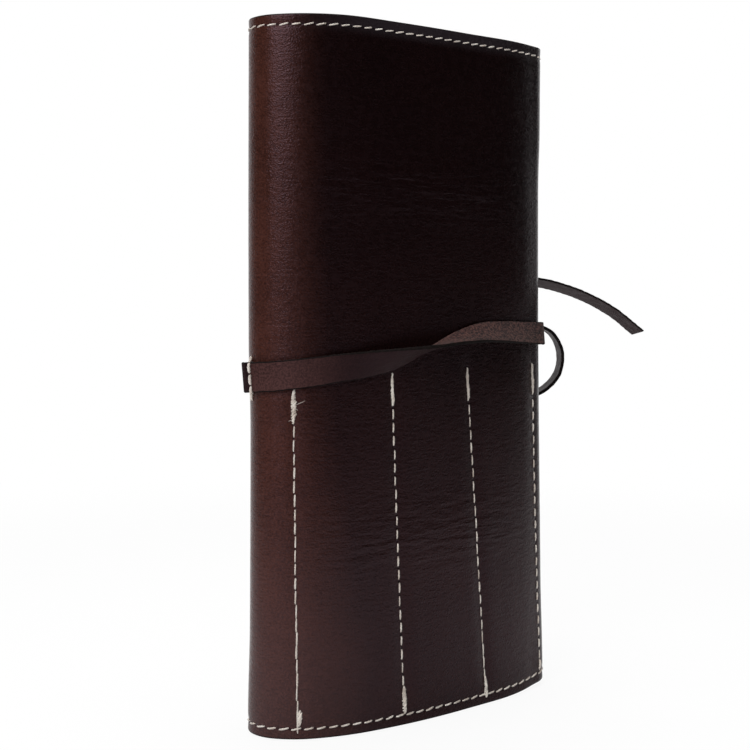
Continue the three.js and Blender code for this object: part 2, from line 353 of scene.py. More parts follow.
def ring_faces(rings, around):
    """The faces between rings of points, with so many points around each ring."""
    faces = []
    for first in range(0, (rings - 1) * around, around):
        for j in range(around):
            a = first + j
            b = first + (j + 1) % around
            faces.append((a, b, b + around, a + around))
    return faces


def sheet_loop(rows, draw, thickness):
    """Heights and depths once around a sheet: outer face, rounded top, inner face, rounded bottom."""
    angles = np.pi * np.arange(1, RIM_STEPS) / RIM_STEPS
    bulge = RIM * np.sin(angles)
    flat = np.ones(len(rows))
    level = np.concatenate([rows, rows[-1] + bulge, rows[::-1], rows[0] - bulge])
    swing = np.concatenate([-flat, -np.cos(angles), flat, np.cos(angles)])
    half = thickness / 2
    return level, half + swing * (half - draw[:, None])


def sheet_faces(stations, rows):
    """Faces and material slots of a solid lofted through sheet loops, and how many faces close its ends."""
    around = 2 * (rows + RIM_STEPS - 1)
    kinds = [OUTER] * (rows - 1) + [EDGE] * RIM_STEPS + [INNER] * (rows - 1) + [EDGE] * RIM_STEPS
    faces = [(a, d, c, b) for a, b, c, d in ring_faces(stations, around)]
    slots = kinds * (stations - 1)
    far = 2 * rows + RIM_STEPS - 2
    for first in (0, (stations - 1) * around):
        quads = [(j, j + 1, far - j - 1, far - j) for j in range(rows - 1)]
        top = tuple(range(rows - 1, rows + RIM_STEPS))
        bottom = (*range(far, around), 0)
        for face in (*quads, top, bottom):
            faces.append(tuple(first + each for each in face))
            slots.append(EDGE)
    return faces, slots, 2 * (rows + 1)


def rounded_ends(places, low_free, high_free):
    """Adds the places that round a sheet's free ends, and gives how far its faces draw in at each place."""
    angles = np.radians([25, 50, 70, 85])
    inset = RIM * (1 - np.sin(angles))
    drawn = RIM * (1 - np.cos(angles))
    low, high = places[0], places[-1]
    draws = np.zeros(len(places))
    if low_free:
        kept = places > low + RIM
        places = np.concatenate([low + inset[::-1], places[kept]])
        draws = np.concatenate([drawn[::-1], draws[kept]])
    if high_free:
        kept = places < high - RIM
        places = np.concatenate([places[kept], high - inset])
        draws = np.concatenate([draws[kept], drawn])
    return places, draws


def sheet_piece(name, places, rows, skin, thickness, materials, free=(True, True), seam_uv=False):
    """A closed sheet of leather, places along it and rows up it, with rounded edges."""
    places, draws = rounded_ends(places, *free)
    level, depth = sheet_loop(rows, draws, thickness)
    points = skin(places[:, None], level, depth)
    uvs = uv_map(places[:, None], level)
    if seam_uv:
        uvs["seams"] = seam_coordinates(places[:, None], level).reshape(-1, 2)
    return close_sheet(name, points, len(rows), materials, uvs)


def close_sheet(name, points, rows, materials, uvs):
    """A closed piece from a sheet's loops of points, one at each place along it."""
    faces, slots, caps = sheet_faces(len(points), rows)
    return make_piece(name, points, faces, materials, slots, uvs, caps)


def seam_coordinates(t, z):
    """Distance in millimetres from the nearest pocket seam, and the height up it, or -20 above its head."""
    t, z = np.broadcast_arrays(t, z)
    nearest = np.full(t.shape, 30.0)
    height = np.full(t.shape, -20.0)
    for seam in cover_seams():
        across = np.abs(t - seam_place(seam, z))
        beside = (across < nearest) & (z < seam[2] + 2)
        nearest = np.where(beside, across, nearest)
        height = np.where(beside, z - SEAM_FOOT, height)
    return np.stack([nearest, height], -1)


def cover_rows():
    """Heights of a cover's rows, closer together beside the edge seams."""
    fine = np.arange(RIM, 7, 0.5)
    middle = np.linspace(7, CASE_HEIGHT - 7, 150)
    return np.concatenate([fine, middle, (CASE_HEIGHT - fine)[::-1]])


def lengths_along(points):
    """How far along a line each of its points lies."""
    return np.concatenate([[0], np.cumsum(np.linalg.norm(np.diff(points, axis=0), axis=1))])


def tube(points, outs, radius, sides=10, plies=3, twist=2.2, tip=0.35):
    """A twisted thread along points: its ring points and faces. outs gives the way up at each point."""
    ways = np.gradient(points, axis=0)
    ways /= np.linalg.norm(ways, axis=1)[:, None]
    sideways = np.cross(ways, outs)
    sideways /= np.linalg.norm(sideways, axis=1)[:, None]
    upward = np.cross(sideways, ways)
    along = lengths_along(points)
    angle = 2 * np.pi * np.arange(sides) / sides
    lobes = 1 + PLY_DEPTH * np.cos(plies * (angle[None, :] - twist * along[:, None]))
    share = along / along[-1]
    taper = tip + (1 - tip) * np.sqrt(np.clip(4 * share * (1 - share), 0, 1))
    size = radius * lobes * taper[:, None]
    ring = sideways[:, None] * np.cos(angle)[:, None] + upward[:, None] * np.sin(angle)[:, None]
    rings = points[:, None] + ring * size[..., None]
    last = (len(points) - 1) * sides
    ends = [tuple(range(sides - 1, -1, -1)), tuple(range(last, last + sides))]
    return rings.reshape(-1, 3), ring_faces(len(points), sides) + ends


# Materials. A reach is where a mark starts to fade and where it is gone, a start where it begins and is full

# Needle holes, darkened with painted shade, and dyed edges, in millimetres
HOLE_REACH = (0.15, 0.55)
HOLE_SHADE = 0.7
DYE_REACH = (0.25, 0.7)
# Marks, in metres along a piece and up it: the pale band on the spine and on the tie beside it, partly wear
# and partly painted light; painted light from the floor on the lower half; a greyer foot of the spine; a
# painted reflection along the top edge; and the tie's rough root
WORN_AND_LIT_REACH = (0.002, 0.024)
LOW_REACH = (0.0, 0.17)
LOW_PAINTED_LIGHT = 0.18
LOW_SPREAD = 0.5
FOOT_GREY_SHARE = 0.24
FOOT_GREY_REACH = (0.0, 0.06)
FOOT_GREY_HEIGHT = (0.0, 0.08)
TOP_REFLECTION_MIDDLE = 0.065
TOP_REFLECTION_REACH = (0.015, 0.06)
TOP_REFLECTION_START = (0.194, 0.198)
TIE_FRONT_START = (0.0, 0.003)
TIE_WORN_AND_LIT_PLACE = 0.008
DULL_PLACE = -0.006
DULL_REACH = (0.006, 0.03)
# Where bending has creased the front cover: the height of each band, its reach and how deep its creases are
CREASED_BANDS = [(0.053, 0.016, 1.0), (0.153, 0.014, 1.2)]
CREASED_MIDDLE = 0.055
CREASED_REACH = (0.018, 0.05)
# Noise stretched along the leather, for creases that run that way
CREASE_STRETCH = (0.28, 1, 1)
BAND_STRETCH = (0.2, 1, 1)

# The dark and light tone of each leather, and the pale colour that shows its wear and its painted light
COVER_COLOURS = ((0.0048, 0.0018, 0.0018, 1), (0.0088, 0.0031, 0.0031, 1), (0.078, 0.0255, 0.0175, 1))
TIE_COLOURS = ((0.01, 0.0042, 0.004, 1), (0.021, 0.009, 0.0088, 1), (0.085, 0.038, 0.034, 1))
COVER_FLESH = ((0.03, 0.014, 0.009, 1), (0.09, 0.05, 0.034, 1))
POCKET_FLESH = ((0.04, 0.019, 0.012, 1), (0.11, 0.06, 0.04, 1))
TIE_FLESH = ((0.006, 0.002, 0.002, 1), (0.115, 0.048, 0.04, 1))
EDGE_COLOURS = ((0.004, 0.003, 0.003, 1), (0.014, 0.009, 0.008, 1))
THREAD_COLOURS = ((0.56, 0.46, 0.39, 1), (0.9, 0.84, 0.77, 1))
FOOT_GREY_COLOUR = (0.1, 0.075, 0.075, 1)
TOP_REFLECTION_COLOUR = (0.027, 0.021, 0.0245, 1)
DYE_COLOUR = (0.003, 0.0022, 0.0022, 1)
HOLE_SHADE_COLOUR = (0.0015, 0.001, 0.001, 1)
LEATHER_SHEEN = (1, 0.68, 0.84, 1)
WHITE = (1, 1, 1, 1)


def new_material(name):
    """A node material, its tree and its main shader."""
    material = bpy.data.materials.new(name)
    material.use_nodes = True
    return material, material.node_tree, material.node_tree.nodes["Principled BSDF"]


def set_inputs(made, inputs):
    """Sets a node's inputs, by name or number, to values or links them to sockets."""
    for key, value in inputs.items():
        if isinstance(value, bpy.types.NodeSocket):
            made.id_data.links.new(value, made.inputs[key])
        else:
            made.inputs[key].default_value = value


def node(kind, inputs, tree=None, **settings):
    """A new shader node, in the tree that its linked inputs belong to unless a tree is given."""
    if tree is None:
        tree = next(each.id_data for each in inputs.values() if isinstance(each, bpy.types.NodeSocket))
    made = tree.nodes.new(f"ShaderNode{kind}")
    for key, value in settings.items():
        setattr(made, key, value)
    set_inputs(made, inputs)
    return made


def maths(operation, *values):
    return node("Math", dict(enumerate(values)), operation=operation).outputs[0]


def times(first, second):
    return maths("MULTIPLY", first, second)


def minus(first, second):
    return maths("SUBTRACT", first, second)


def away(value, middle):
    """How far a value is from the middle."""
    return maths("ABSOLUTE", minus(value, middle))


def noise(where, scale, detail=4, roughness=0.55):
    inputs = {"Vector": where, "Scale": scale, "Detail": detail, "Roughness": roughness}
    return node("TexNoise", inputs).outputs["Fac"]


def spread(value, low, high, to_low=0.0, to_high=1.0):
    """value from low to high, spread over to_low to to_high, smooth at both ends."""
    inputs = {"Value": value, "From Min": low, "From Max": high, "To Min": to_low, "To Max": to_high}
    return node("MapRange", inputs, interpolation_type="SMOOTHSTEP").outputs[0]


def fade(value, reach, full=1.0):
    """full where the value is below its reach, and 0 where it is beyond."""
    return spread(value, *reach, full, 0.0)


def blended(*parts):
    """The sum of values, each given with its share."""
    total = 0.0
    for value, share in parts:
        total = maths("ADD", total, times(value, share))
    return total


def mix_colour(share, first, second):
    return node("Mix", {0: share, 6: first, 7: second}, data_type="RGBA").outputs[2]


def bump(height, distance, strength, under=None):
    inputs = {"Height": height, "Distance": distance, "Strength": strength}
    if under is not None:
        inputs["Normal"] = under
    return node("Bump", inputs).outputs[0]


def uv_place(tree, stretch=(1, 1, 1), layer="UVMap"):
    """A UV layer's coordinates, stretched."""
    uv = node("UVMap", {}, tree, uv_map=layer).outputs[0]
    return node("Mapping", {"Vector": uv, "Scale": stretch}).outputs[0]


def uv_parts(tree, **place):
    """The place along a piece and the place up it, as uv_place gives them."""
    return node("SeparateXYZ", {0: uv_place(tree, **place)}).outputs[:2]


def hole_distance(across, along, pitch):
    """Distance from the nearest needle hole of a row of stitches, all in one unit."""
    beat = maths("FRACT", maths("DIVIDE", along, pitch))
    past = times(minus(beat, 0.5), pitch)
    squares = maths("ADD", times(across, across), times(past, past))
    return maths("SQRT", squares)


def cover_marks(tree):
    """1 in the needle holes of the edge and pocket seams, which get painted shade, and 1 on the dark dyed
    edges.
    """
    along, up = uv_parts(tree, stretch=(1 / MM, 1 / MM, 1))
    from_edge = minus(CASE_HEIGHT / 2, away(up, CASE_HEIGHT / 2))
    edge_hole = hole_distance(minus(from_edge, EDGE_SEAM_INSET), along, EDGE_PITCH)
    seam_hole = hole_distance(*uv_parts(tree, layer="seams"), SEAM_PITCH)
    nearest = maths("MINIMUM", edge_hole, seam_hole)
    return fade(nearest, HOLE_REACH), fade(from_edge, DYE_REACH)


def tie_wear_and_light(tree):
    """1 on the tie beside the spine, where bending has paled it and painted light stands in for the key lamp
    falling from the left, and 0 behind and farther along.
    """
    along, _ = uv_parts(tree)
    in_front = spread(along, *TIE_FRONT_START)
    return times(in_front, fade(away(along, TIE_WORN_AND_LIT_PLACE), WORN_AND_LIT_REACH))


def dull_root(tree):
    """How rough the tie is behind the spine, where nothing has polished it."""
    along, _ = uv_parts(tree)
    return fade(away(along, DULL_PLACE), DULL_REACH)


def cover_wear_and_light(tree):
    """1 on the spine's fold and 0 where it lies flat: partly wear, where bending has paled the leather, and
    partly painted light, where the key lamp from the left falls on the fold.

    Lower down the pale band spreads wider and all of the leather is paled a little: painted light from the
    white floor."""
    along, up = uv_parts(tree)
    distance = times(away(along, 0.0), spread(up, *LOW_REACH, LOW_SPREAD, 1.0))
    return maths("MAXIMUM", fade(distance, WORN_AND_LIT_REACH), fade(up, LOW_REACH, LOW_PAINTED_LIGHT))


def greyer_foot(tree):
    """How much paler and greyer the leather is around the foot of the spine."""
    along, up = uv_parts(tree)
    near = fade(away(along, 0.0), FOOT_GREY_REACH, FOOT_GREY_SHARE)
    return times(near, fade(up, FOOT_GREY_HEIGHT))


def painted_top_reflection(tree):
    """How much painted reflection lies along the front cover's top edge: a paler greyish band where the
    leather catches light from above.
    """
    along, up = uv_parts(tree)
    near = fade(away(along, TOP_REFLECTION_MIDDLE), TOP_REFLECTION_REACH)
    return times(near, spread(up, *TOP_REFLECTION_START))


def bent_creases(tree):
    """The height of the creases that run across the front cover in bands."""
    along, up = uv_parts(tree)
    across = fade(away(along, CREASED_MIDDLE), CREASED_REACH)
    deep = 0.0
    for height, reach, depth in CREASED_BANDS:
        deep = maths("ADD", deep, fade(away(up, height), (0.0, reach), depth))
    rows = noise(uv_place(tree, BAND_STRETCH), 430, 2)
    return times(rows, times(across, deep))


def marked_cover(tree, colour, normal):
    """The cover's colour and normal with a greyer foot, a painted reflection along the top edge, dyed edges,
    needle holes darkened by painted shade, and creases.
    """
    pierced, dyed = cover_marks(tree)
    # Paler and greyer around the foot of the spine
    colour = mix_colour(greyer_foot(tree), colour, FOOT_GREY_COLOUR)
    # A painted reflection along the top edge
    colour = mix_colour(painted_top_reflection(tree), colour, TOP_REFLECTION_COLOUR)
    colour = mix_colour(dyed, colour, DYE_COLOUR)
    # Painted shade darkens the needle holes
    colour = mix_colour(times(pierced, HOLE_SHADE), colour, HOLE_SHADE_COLOUR)
    normal = bump(bent_creases(tree), 0.0006, 0.7, normal)
    return colour, bump(minus(1.0, pierced), 0.0003, 0.5, normal)


def grain_leather(name, kind, colours, gloss, specular):
    """Smooth leather: cloudy and finely specked colour, pebbled grain and creases.

    The kind is cover, tie or pocket; the first two are paler where they are worn and where painted light
    falls on them."""
    material, tree, shader = new_material(name)
    dark, light, pale = colours
    place = uv_place(tree)
    cloud = noise(place, 35, 5, 0.6)
    mottle = noise(place, 420, 3)
    specks = noise(place, 1700, 2, 0.7)
    tone = blended((cloud, 0.28), (mottle, 0.12), (specks, 0.6))
    colour = mix_colour(spread(tone, 0.38, 0.62), dark, light)
    # Pale where the leather is worn, and painted light where the lamp falls on the spine and the floor lights
    # the lower half
    if kind != "pocket":
        wear_and_light = cover_wear_and_light(tree) if kind == "cover" else tie_wear_and_light(tree)
        worn_and_lit = times(wear_and_light, spread(tone, 0.36, 0.62, 0.3, 1.0))
        colour = mix_colour(worn_and_lit, colour, pale)
    cells = node("TexVoronoi", {"Vector": place, "Scale": 2300.0}, feature="F1").outputs[0]
    crease = noise(uv_place(tree, CREASE_STRETCH), 1000, 3, 0.6)
    grain = bump(blended((cells, 1.0), (specks, 0.8)), 0.00012, 0.5)
    normal = bump(spread(crease, 0.4, 0.62), 0.0001, 0.3, grain)
    rough = spread(mottle, 0.3, 0.7, gloss - 0.06, gloss + 0.08)
    if kind == "cover":
        colour, normal = marked_cover(tree, colour, normal)
    if kind == "tie":
        rough = maths("MAXIMUM", rough, dull_root(tree))
    set_inputs(shader, {"Base Color": colour, "Roughness": rough, "Normal": normal})
    set_inputs(shader, {"Specular IOR Level": specular, "Specular Tint": LEATHER_SHEEN})
    return material


def suede_leather(name, colours):
    """The flesh side of leather: short matted fibres."""
    material, tree, shader = new_material(name)
    place = uv_place(tree)
    nap = noise(place, 1250, 3, 0.65)
    tuft = noise(place, 450, 3, 0.6)
    patch = noise(place, 90, 4)
    share = blended((nap, 0.7), (tuft, 0.18), (patch, 0.12))
    colour = mix_colour(spread(share, 0.42, 0.6), *colours)
    normal = bump(blended((nap, 0.6), (tuft, 0.4)), 0.0005, 0.8)
    set_inputs(shader, {"Base Color": colour, "Normal": normal, "Roughness": 0.95})
    set_inputs(shader, {"Specular IOR Level": 0.2, "Sheen Weight": 0.06, "Sheen Roughness": 0.6})
    return material


def cut_edge(name):
    """The dark waxed edge of cut leather, with its fibres showing a little."""
    material, tree, shader = new_material(name)
    fibre = noise(uv_place(tree), 1400, 4, 0.6)
    colour = mix_colour(spread(fibre, 0.35, 0.7), *EDGE_COLOURS)
    normal = bump(fibre, 0.0002, 0.6)
    set_inputs(shader, {"Base Color": colour, "Normal": normal})
    set_inputs(shader, {"Roughness": 0.75, "Specular IOR Level": 0.08})
    return material


def sewing_thread(name):
    """Cream waxed linen thread."""
    material, tree, shader = new_material(name)
    place = node("TexCoord", {}, tree).outputs["Object"]
    fibre = noise(place, 6000, 3)
    shade = noise(place, 350, 3)
    share = blended((fibre, 0.5), (shade, 0.5))
    colour = mix_colour(spread(share, 0.35, 0.62), *THREAD_COLOURS)
    normal = bump(fibre, 0.0001, 0.5)
    set_inputs(shader, {"Base Color": colour, "Normal": normal})
    set_inputs(shader, {"Roughness": 0.7, "Sheen Weight": 0.15})
    return material


cover_grain = grain_leather("cover_grain", "cover", COVER_COLOURS, 0.24, 0.22)
cover_flesh = suede_leather("cover_flesh", COVER_FLESH)
pocket_flesh = suede_leather("pocket_flesh", POCKET_FLESH)
pocket_grain = grain_leather("pocket_grain", "pocket", COVER_COLOURS, 0.5, 0.2)
tie_grain = grain_leather("tie_grain", "tie", TIE_COLOURS, 0.5, 0.15)
tie_suede = suede_leather("tie_suede", TIE_FLESH)
leather_edge = cut_edge("leather_edge")
thread = sewing_thread("thread")


# The covers

def metres(point):
    return tuple(each * MM for each in point)


def bend_at(piece, bend):
    body, next_body, start, end = bend
    metres(start)
    metres(end)
    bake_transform(piece)


def stand_for(piece, body, *nodes):
    """Makes a piece ride on a body in place of its nodes."""
    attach(piece, body)
    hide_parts(*nodes)


def even(low, high, step):
    return np.linspace(low, high, max(2, round((high - low) / step) + 1))


def make_cover(name, low, high, free):
    skins = [cover_grain, leather_edge, cover_flesh]
    places = even(low, high, 0.7)
    piece = sheet_piece(name, places, cover_rows(), cover_skin, COVER_THICKNESS, skins, free, True)
    return piece


back_panel = make_cover("back_panel", T_BACK_EDGE, T_BACK_SPLIT, (True, False))
spine_and_front = make_cover("spine_and_front", T_BACK_SPLIT, T_FOLD_SPLIT, (False, False))
fold_and_flap = make_cover("fold_and_flap", T_FOLD_SPLIT, T_FLAP_EDGE, (False, True))
stand_for(back_panel, "back_cover", "back_cover")
bend_at(spine_and_front, SPINE_BEND)
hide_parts("front_cover")
bend_at(fold_and_flap, FOLD_BEND)
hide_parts("inner_flap")


# The strips that face the top edge inside

def lining_skin(t, z, depth):
    """Points of a lining that lies on the inside of the cover."""
    return cover_skin(t, z, depth + LINING_DEPTH)


LINING = [pocket_flesh, leather_edge, pocket_grain]
FACINGS = {
    "front": ("front_cover", FACING_FOLD_INSET, T_FOLD - FACING_FOLD_INSET),
    "flap": ("inner_flap", T_FOLD + FACING_FOLD_INSET, T_FLAP_EDGE - FACING_INSET),
    "back": ("back_cover", T_BACK_EDGE + FACING_INSET, -FACING_FOLD_INSET),
}
for side, (body, low, high) in FACINGS.items():
    rows = np.linspace(CASE_HEIGHT - FACING_HEIGHT + RIM, CASE_HEIGHT - RIM, 14)
    places = even(low, high, 1.2)
    strip = sheet_piece(f"{side}_facing_strip", places, rows, lining_skin, POCKET_THICKNESS, LINING)
    stand_for(strip, body, f"{side}_facing")


# The hook pockets

def pocket_profile(seams):
    """Places across a row of pockets: seam, next seam, share between them, how far the pocket stands open."""
    yield 0, 0, -POCKET_BORDER, 0
    for i in range(len(seams) - 1):
        yield i, i, 0, 0
        for k in range(POCKET_STEPS + 1):
            yield i, i + 1, k / POCKET_STEPS, math.sin(math.pi * k / POCKET_STEPS)
    last = len(seams) - 1
    yield last, last, 0, 0
    yield last, last, POCKET_BORDER, 0


def pocket_piece(name, seams, way):
    """One row of pockets. way is 1 on the front cover and -1 on the back."""
    profile = list(pocket_profile(seams))[::way]
    first, second, share, lift = (np.array(each)[:, None] for each in zip(*profile))
    rows = np.concatenate([np.linspace(RIM, 30, 26), np.linspace(32, POCKET_HEIGHT - RIM, 34)])
    z, depth = sheet_loop(rows, np.zeros(len(profile)), POCKET_THICKNESS)
    lines = np.array([seam_place(seam, z) for seam in seams])
    low = lines[first[:, 0]]
    high = lines[second[:, 0]]
    between = low + SEAM_LAND + (high - low - 2 * SEAM_LAND) * share
    along = np.where(first == second, low + share, between)
    opened = POCKET_DEPTH * lift * smooth(POCKET_FLOOR, POCKET_FULL, z)
    points = lining_skin(way * along, z, depth + opened)
    uvs = uv_map(points[..., 0] + 0.3 * points[..., 1], points[..., 2])
    return close_sheet(name, points, len(rows), LINING, uvs)


for side, seams, way in (("front", FRONT_SEAMS, 1), ("back", BACK_SEAMS, -1)):
    row = pocket_piece(f"{side}_pocket_row", seams, way)
    stand_for(row, f"{side}_cover", *(f"{side}_pocket_panel_{i}" for i in range(1, len(seams))))


# The stitches

chance = random.Random(7)


def jitter(size):
    return chance.uniform(-size, size)


def sew(name, tubes):
    """One piece of thread from its tubes, each given as points and faces."""
    points = []
    faces = []
    count = 0
    for tube_points, tube_faces in tubes:
        points.append(tube_points)
        faces += [tuple(count + each for each in face) for face in tube_faces]
        count += len(tube_points)
    piece = make_piece(name, np.concatenate(points), faces, [thread])
    return piece


def stitch(start, end, lift, radius, inner=None):
    """One stitch over the leather from start to end, each (t, z), or inside the case at the depth inner."""
    share = np.linspace(0, 1, STITCH_STEPS)
    t = start[0] + (end[0] - start[0]) * share
    z = start[1] + (end[1] - start[1]) * share
    arch = lift - (lift + STITCH_SINK) * (2 * share - 1) ** 6
    if inner is None:
        return tube(cover_skin(t, z, -arch), outward(t), radius)
    return tube(cover_skin(t, z, inner - arch), -outward(t), radius)


def inner_stitch(start, end, depth):
    return stitch(start, end, INNER_LIFT, INNER_THREAD_RADIUS, depth)


def inner_depth(t, z):
    """Depth of the innermost leather where a stitch comes out inside the case."""
    if z > CASE_HEIGHT / 2:
        lined = any(low + 1 < t < high - 1 for _, low, high in FACINGS.values())
    else:
        seams = FRONT_SEAMS if t > 0 else BACK_SEAMS
        lined = seams[0][0] - 1 < abs(t) < seams[-1][0] + 1
    return LAYERED_DEPTH if lined else COVER_THICKNESS


def edge_row(height, low, high):
    """The stitches of an edge seam whose middles lie between low and high.

    With each comes the part of the case whose pocket or facing it holds, or None."""
    radius = TOP_THREAD_RADIUS if height > CASE_HEIGHT / 2 else THREAD_RADIUS
    first = math.ceil((T_BACK_EDGE + EDGE_ROW_INSET) / EDGE_PITCH)
    last = math.floor((T_FLAP_EDGE - EDGE_ROW_INSET) / EDGE_PITCH)
    for i in range(first, last):
        middle = EDGE_PITCH * (i + 1)
        if not low <= middle < high:
            continue
        reach = EDGE_STITCH / 2 + jitter(0.12)
        rise = EDGE_SLANT / 2 + jitter(0.1)
        start = (middle - reach, height - rise)
        end = (middle + reach, height + rise)
        yield stitch(start, end, EDGE_LIFT, radius), None
        depth = inner_depth(middle, height)
        part = "back" if middle < 0 else "front" if middle < T_FOLD else "flap"
        inner = inner_stitch((start[0], height), (end[0], height), depth)
        yield inner, part if depth > COVER_THICKNESS else None


EDGE_GROUPS = {
    "back": (T_BACK_EDGE, -25),
    "spine": (-25, 10),
    "front": (10, 95),
    "fold": (95, T_FOLD + 12),
    "flap": (T_FOLD + 12, T_FLAP_EDGE),
}
edge_tubes = {group: [] for group in EDGE_GROUPS}
for group, (low, high) in EDGE_GROUPS.items():
    for height in EDGE_ROWS:
        for made, part in edge_row(height, low, high):
            edge_tubes[part or group].append(made)
edge_stitches = {group: sew(f"{group}_edge_stitches", tubes) for group, tubes in edge_tubes.items()}
for group, body in (("back", "back_cover"), ("front", "front_cover"), ("flap", "inner_flap")):
    stand_for(edge_stitches[group], body, f"{group}_top_thread", f"{group}_bottom_thread")
bend_at(edge_stitches["spine"], SPINE_BEND)
bend_at(edge_stitches["fold"], FOLD_BEND)


def fibre(t, z, way_t, way_z, length):
    """A loose fibre that leaves the leather at (t, z) and curls up."""
    share = np.linspace(0, 1, 8)
    curl = jitter(0.5)
    along = length * share
    points = cover_skin(
        t + way_t * along - curl * way_z * along * share,
        z + way_z * along + curl * way_t * along * share,
        -0.1 - 0.6 * np.sin(2.2 * share),
    )
    return tube(points, outward(np.full(len(share), t)), FIBRE_RADIUS, sides=5, plies=1, tip=0.6)


def bar_tack(seam, way, low, high, wide, aside=0.0):
    """A knotted end of a seam: slanted stitches, close together, over the width of the knot."""
    count = round((high - low) / TACK_SPACING)
    for i in range(count):
        share = (i + 0.5) / count
        z = low + (high - low) * share
        belly = wide * (0.3 + 0.7 * min(1, 2.2 * math.sin(math.pi * share))) * (1 + jitter(0.15)) - 0.4
        middle = seam_place(seam, z) + aside + jitter(0.1)
        reach = 0.75 + jitter(0.2)
        start = (way * (middle - belly / 2), z - reach)
        end = (way * (middle + belly / 2), z + reach)
        yield stitch(start, end, TACK_LIFT + jitter(0.1), TACK_THREAD_RADIUS + jitter(0.05))


def straight_stitch(seam, way, low, high, radius):
    start = (way * seam_place(seam, low), low)
    end = (way * seam_place(seam, high), high)
    return stitch(start, end, UNDER_TACK_LIFT, radius)


def seam_row(seam, way, stitch_length, run_on, radius, tacks):
    """The stitches up one pocket seam, with a tack at each end: the outer ones and the inner ones."""
    _, _, top = seam
    head_wide, foot_wide, foot_aside, foot_low, foot_high, thread_end = tacks
    outer = []
    inner = []
    for i in range(int((top - SEAM_FOOT) / SEAM_PITCH)):
        middle = SEAM_FOOT + SEAM_PITCH * (i + 1)
        length = SEAM_PITCH + RUN_ON_OVERLAP if middle < run_on else stitch_length
        low = middle - length / 2 + jitter(0.15)
        high = middle + length / 2 + jitter(0.15)
        sway = jitter(0.12)
        start = (way * (seam_place(seam, low) + sway - 0.08), low)
        end = (way * (seam_place(seam, high) + sway + 0.08), high)
        outer.append(stitch(start, end, SEAM_LIFT, radius + jitter(0.04)))
        inner.append(inner_stitch(start, end, LAYERED_DEPTH))
    head_low = top + 1 - HEAD_LENGTH
    outer += bar_tack(seam, way, head_low, top + 1, head_wide)
    outer += bar_tack(seam, way, foot_low, foot_high, foot_wide, foot_aside)
    outer.append(straight_stitch(seam, way, head_low, top, radius))
    outer.append(straight_stitch(seam, way, thread_end, foot_high + 1, radius))
    return outer, inner


def sew_seam(side, number, seam, way, stitches, tacks):
    """One pocket seam's threads, outside and inside the case."""
    outer, inner = seam_row(seam, way, *stitches, tacks)
    if seam is FRONT_SEAMS[0]:
        for below, way_t, way_z, length in HEAD_FIBRES:
            z = seam[2] + 1 - below
            outer.append(fibre(seam_place(seam, z) + 0.6 * way_t, z, way_t, way_z, length))
    outer_row = sew(f"{side}_seam_stitches_{number}", outer)
    inner_row = sew(f"{side}_seam_inner_stitches_{number}", inner)
    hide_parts(f"{side}_seam_thread_{number}")
    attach(inner_row, f"{side}_cover")
    if seam is FRONT_SEAMS[-1]:
        bend_at(outer_row, FOLD_BEND)
    else:
        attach(outer_row, f"{side}_cover")


for i, seam in enumerate(FRONT_SEAMS):
    sew_seam("front", i + 1, seam, 1, FRONT_SEAM_STITCHES[i], FRONT_TACKS[i])
for i, seam in enumerate(BACK_SEAMS):
    sew_seam("back", i + 1, seam, -1, BACK_SEAM_STITCHES, BACK_TACKS)


# The tie

def through(points, share):
    """The point at a share of the way along a smooth curve through points."""
    points = np.asarray(points, float)
    last = len(points) - 1
    step = min(int(share * last), last - 1)
    part = share * last - step
    a, b = points[step], points[step + 1]
    before = points[step - 1] if step else 2 * a - b
    after = points[step + 2] if step + 2 <= last else 2 * b - a
    gaps = [np.linalg.norm(q - p) ** 0.5 for p, q in ((before, a), (a, b), (b, after))]
    middle = gaps[1] if gaps[1] > 1e-4 else 1.0
    first = gaps[0] if gaps[0] > 1e-4 else middle
    final = gaps[2] if gaps[2] > 1e-4 else middle
    leave = middle * ((a - before) / first - (b - before) / (first + middle) + (b - a) / middle)
    reach = middle * ((b - a) / middle - (after - a) / (middle + final) + (after - b) / final)
    bend = -3 * a + 3 * b - 2 * leave - reach
    return a + leave * part + bend * part**2 + (2 * a - 2 * b + leave + reach) * part**3


UP = np.array([0.0, 0.0, 1.0])


def unit(vector):
    return vector / np.linalg.norm(vector)


def narrowing(share):
    """The tie's width at a share of the way along a tail, against its width at the spine."""
    return 1 + (TIE_END_WIDTH / TIE_WIDTH - 1) * share


def rolled(t, height, roll, narrow=1.0):
    """A station of the tie just clear of the leather at t, leaning by roll: middle, width and grain side."""
    c, s = math.cos(math.radians(roll)), math.sin(math.radians(roll))
    clear = FIT_GAP + TIE_WIDTH / 2 * narrow * abs(s) + TIE_THICKNESS / 2 * abs(c)
    x, y, out_x, out_y = (float(each) for each in on_sheet(t))
    out = np.array([out_x, out_y, 0.0])
    return np.array([x, y, height]) + out * clear, (c * UP + s * out) * narrow, c * out - s * UP


def tie_on_front(along):
    """A station of the tie on the front cover at a distance from the spine."""
    share = along / FRONT_TAIL_END
    height, roll = through(list(zip(FRONT_TAIL_HEIGHTS, FRONT_TAIL_ROLLS)), share)
    return rolled(along, height, roll, narrowing(share))


def tie_on_back(along):
    """A station of the tie on the back cover at a distance from the spine."""
    share = along / -T_BACK_EDGE
    straight = BACK_TAIL_RISE[0] + (BACK_TAIL_RISE[1] - BACK_TAIL_RISE[0]) * share
    height = straight - 4 * BACK_TAIL_SAG * share * (1 - share)
    return rolled(-along, height, SPINE_ROLL * max(0, 1 - along / BACK_ROOT_END))


